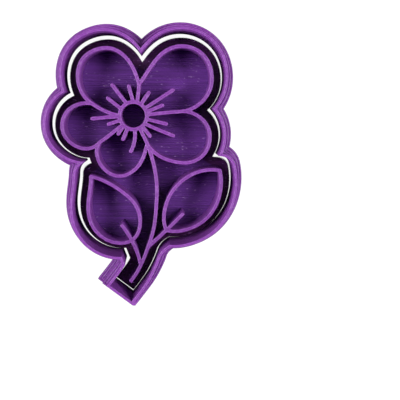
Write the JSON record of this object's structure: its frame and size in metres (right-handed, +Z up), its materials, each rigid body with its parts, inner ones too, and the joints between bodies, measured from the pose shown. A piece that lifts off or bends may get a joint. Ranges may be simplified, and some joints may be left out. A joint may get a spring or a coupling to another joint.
{
  "type": "plunger cutter",
  "caption": "Flower-shaped biscuit cutter: a ring with a flat flange and thin stepped blade, and a loose ribbed stamp that slides up through it to emboss petals, stem and leaves.",
  "frame": {"origin": "middle of the cutter ring's footprint, on the table", "axes": "+Z up, the way the blade and ribs point; +Y along the flower away from the stem; +X to the right in the picture"},
  "size_m": [0.0584, 0.0834, 0.0128],
  "materials": {
    "cutter_plastic": "satin purple filament with fine printed layer lines",
    "stamp_plastic": "satin purple filament with fine printed layer lines"
  },
  "bodies": {
    "cutter": {"cutter_flange": "cutter_plastic", "cutter_wall": "cutter_plastic", "cutter_blade": "cutter_plastic"},
    "stamp": {"stamp_plate": "stamp_plastic", "centre_ring": "stamp_plastic", "petal_rib_top_left": "stamp_plastic", "petal_rib_top_right": "stamp_plastic", "petal_rib_right": "stamp_plastic", "petal_rib_bottom": "stamp_plastic", "petal_rib_left": "stamp_plastic", "stamens": "stamp_plastic", "stem_rib": "stamp_plastic", "vein_left": "stamp_plastic", "vein_right": "stamp_plastic", "leaf_rib_left": "stamp_plastic", "leaf_rib_right": "stamp_plastic"}
  },
  "joints": [
    {"name": "stamp_slide", "type": "slide", "parent": "cutter", "child": "stamp", "axis": [0, 0, 1], "range_m": [0, 0.0144]}
  ]
}
